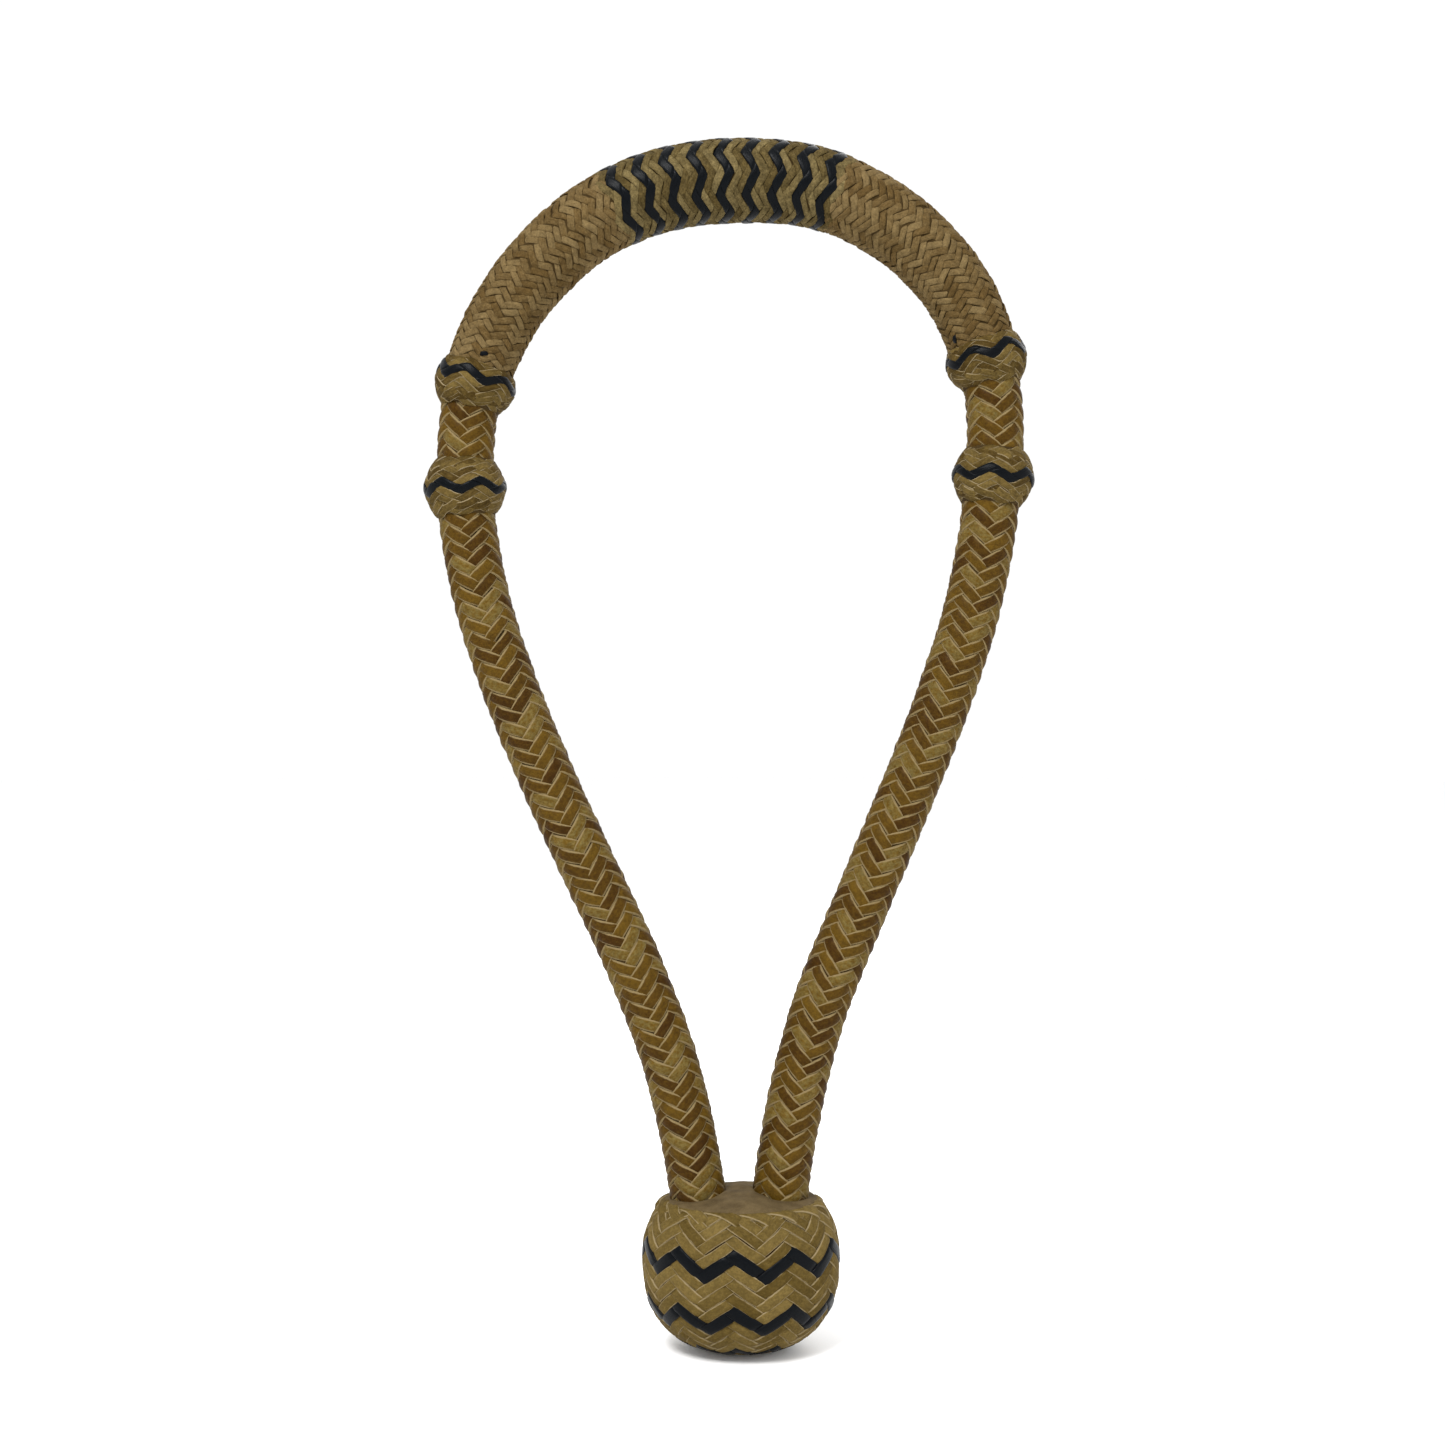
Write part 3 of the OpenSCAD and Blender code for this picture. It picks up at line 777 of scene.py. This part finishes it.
HEEL_WEAVE = dict(units=60, over=3, pitch=4.07, thick=0.9, phase=28, owner=-1)
HEEL_BLACK = dict(width=1.1, lift=0.14, ramp=0.25)
HEEL_TURNS = dict(radius=22, count=16, span=50, drop=4.6, width=3.4, thick=0.85, phase=4, lift=0.3)
HEEL_RING_S = 1.75                        # middle of the upper black string up the side
HEEL_RINGS = {"upper": 0, "middle": -4, "lower": -8}    # levels of the black strings
HEEL_TURNS_S = RIM - 2.0                  # height of the turns' tops
HEEL_LOW, HEEL_HIGH = -44, RIM - 1.6      # the braid, from the underside to under the turns
HEEL_SLEEVE = dict(depth=0.75, rows=60, sides=96)


def build_heel():
    """The heel knot's braid, its three black strings and the turns along its rim."""
    weave = Weave(shift=HEEL_RING_S - HEEL_WEAVE["pitch"] / 2, **HEEL_WEAVE)
    legs = weave.legs(HEEL_LOW, HEEL_HIGH)
    piece = bights("heel_bights", heel_surface, rim=HEEL_TURNS_S, **HEEL_TURNS)
    finish_piece(piece, HEEL_STRING, "natural_string")
    level = [math.floor(leg.ring + 0.25) for leg in legs]
    plain = [leg for leg, at in zip(legs, level) if at not in HEEL_RINGS.values()]
    piece = woven("heel_braid", weave, heel_surface, plain, width=1.0)
    finish_piece(piece, HEEL_STRING, "natural_string", "heel_cover")
    for name, ring_level in HEEL_RINGS.items():
        ring = [leg for leg, at in zip(legs, level) if at == ring_level]
        piece = woven(f"heel_black_{name}", weave, heel_surface, ring, **HEEL_BLACK)
        finish_piece(piece, BLACK, "black_string", f"heel_string_{name}")
    sleeve("heel_under", heel_surface, HEEL_S[0] + 1, RIM - 0.6, **HEEL_SLEEVE)


CAP_RINGS, CAP_SPOKES = 40, 144
CAP_THICK = 1.6
CAP_TUCK = 0.3                            # how far the leather reaches into the plaits
TENT_H, TENT_W, TENT_DEPTH = 2.3, 8.5, 18    # leather pulled up between the shanks
EDGE_DROP = 0.9                           # how far its edge dips in under the rim


def shank_places(z):
    """X of both shanks' middles at height z."""
    half = len(LINE) // 2
    left = np.interp(z, LINE[:half, 1], LINE[:half, 0])
    right = np.interp(z, LINE[:half:-1, 1], LINE[:half:-1, 0])
    return left, right


def cap_height(x, y):
    """The cap's leather: pulled up between the shanks, slack in low waves over the rest."""
    tent = TENT_H * np.exp(-(x / TENT_W) ** 2) * np.clip(1 - (y / TENT_DEPTH) ** 2, 0, 1)
    slack = 0.15 * np.sin(x * 0.55 + 1.3 * np.sin(y * 0.3)) + 0.1 * np.sin(y * 0.9 + x * 0.25)
    edge = np.hypot(x, y * HEEL_W / HEEL_DEPTH) / CAP_REACH
    return CAP_Z + tent + slack * (1 - edge ** 4) - EDGE_DROP * edge ** 6


def cap_grid():
    """X and y of the cap's rings of points, and which of them lie inside a shank.

    Those are moved out to the shank's side, so that the hole has a clean edge.
    """
    share = np.linspace(0.0, 1.0, CAP_RINGS)[1:, None]
    a = np.linspace(0, TURN, CAP_SPOKES, endpoint=False)[None, :]
    x = share * CAP_REACH * np.cos(a)
    y = share * CAP_REACH * HEEL_DEPTH / HEEL_W * np.sin(a)
    inside = np.zeros(x.shape, bool)
    hole = SHANK_R - CAP_TUCK
    for middle in shank_places(CAP_Z):
        away = np.hypot(x - middle, y)
        near = away < hole
        scale = np.where(near, hole / np.maximum(away, 0.01), 1)
        x = middle + (x - middle) * scale
        y = y * scale
        inside |= near
    return x, y, inside


def build_cap():
    """The plain leather on top of the knot, cut out around each shank."""
    x, y, inside = cap_grid()
    points = np.stack([x, y, cap_height(x, y)], -1).reshape(-1, 3)
    points = np.vstack([points, [[0, 0, cap_height(0, 0)]]])
    index = np.arange(x.size).reshape(x.shape)
    turned = np.roll(index, -1, 1)
    quads = np.stack([index[:-1], turned[:-1], turned[1:], index[1:]], -1).reshape(-1, 4)
    keep = ~inside.ravel()[quads].all(axis=1)
    middle = [[len(points) - 1, *pair] for pair in zip(index[0], turned[0])]
    mesh = bpy.data.meshes.new("heel_cap_leather")
    mesh.from_pydata((points * MM).tolist(), [], quads[keep].tolist() + middle)
    mesh.validate()
    piece = link_mesh("heel_cap_leather", mesh)
    solid = piece.modifiers.new("thickness", "SOLIDIFY")
    solid.thickness = CAP_THICK * MM
    solid.offset = -1
    finish_piece(piece, CAP, "cap_leather", "heel_cap")


# ---------------------------------------------------------------- CAD nodes that stay

def dress_nodes():
    """The material of the core, the foundations and the binding, all under the strings: the same
    dark rawhide, painted shade.
    """
    for name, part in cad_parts.items():
        if "foundation" in name or name in ("core", "heel_binding"):
            part.data.materials.clear()
            part.data.materials.append(UNDER_SHADE)


# ---------------------------------------------------------------- stage, light and camera (m)

FLOOR_Z = -0.3283                         # just under the heel knot's lowest strings
FLOOR_R = 6
FLOOR_COLOUR = (0.98, 0.98, 0.98, 1)
WORLD_STRENGTH = 1.02
# Name, place, what it points at, side and power (W)
LIGHTS = (
    ("key", (-0.35, -0.8, 0.8), (0, 0, -0.12), 0.4, 18),
    ("fill", (0.9, -0.7, 0.1), (0, 0, -0.15), 1.0, 3),
    ("back", (0.5, 0.9, 0.6), (0, 0, -0.15), 1.0, 7),
)
CAMERA_PLACE = (-0.0054, -0.569, -0.1456)
SENSOR_MM = 36
FOCAL_PIXELS, FRAME_PIXELS = 1950, 1445


def build_floor():
    bpy.ops.mesh.primitive_circle_add(vertices=96, radius=FLOOR_R, fill_type="NGON",
                                      location=(0, 0, FLOOR_Z))
    floor = bpy.context.object
    floor.name = "floor"
    n = Nodes("pale_floor")
    n.shader.inputs["Base Color"].default_value = FLOOR_COLOUR
    n.shader.inputs["Roughness"].default_value = 0.9
    floor.data.materials.append(n.material)


def add_light(name, place, target, size, watts):
    light = bpy.data.lights.new(name, "AREA")
    light.size = size
    light.energy = watts
    lamp = bpy.data.objects.new(name, light)
    lamp.location = place
    direction = np.array(target) - np.array(place)
    lamp.rotation_euler = Vector(direction).to_track_quat("-Z", "Y").to_euler()
    bpy.context.collection.objects.link(lamp)


def build_world():
    """An even white surround, as in a photograph cut out on white."""
    world = bpy.data.worlds.new("studio")
    world.use_nodes = True
    background = world.node_tree.nodes["Background"]
    background.inputs[0].default_value = (1, 1, 1, 1)
    background.inputs[1].default_value = WORLD_STRENGTH
    bpy.context.scene.world = world
    bpy.context.scene.view_settings.view_transform = "Standard"


def build_camera():
    """Level with the middle of the loop, so that the heel knot's cap is seen from above."""
    camera = bpy.data.cameras.new("camera")
    camera.sensor_width = SENSOR_MM
    camera.lens = SENSOR_MM * FOCAL_PIXELS / FRAME_PIXELS
    view = bpy.data.objects.new("camera", camera)
    view.location = CAMERA_PLACE
    view.rotation_euler = (math.radians(90), 0, 0)
    bpy.context.collection.objects.link(view)
    bpy.context.scene.camera = view


build_camera()
dress_nodes()
build_shank()
build_band()
build_nose_ends()
for tucked in TUCKED_ENDS:
    tucked_end(*tucked)
for small_knot in SMALL_KNOTS:
    build_knot(*small_knot)
build_heel()
build_cap()
build_floor()
build_world()
for lamp_facts in LIGHTS:
    add_light(*lamp_facts)
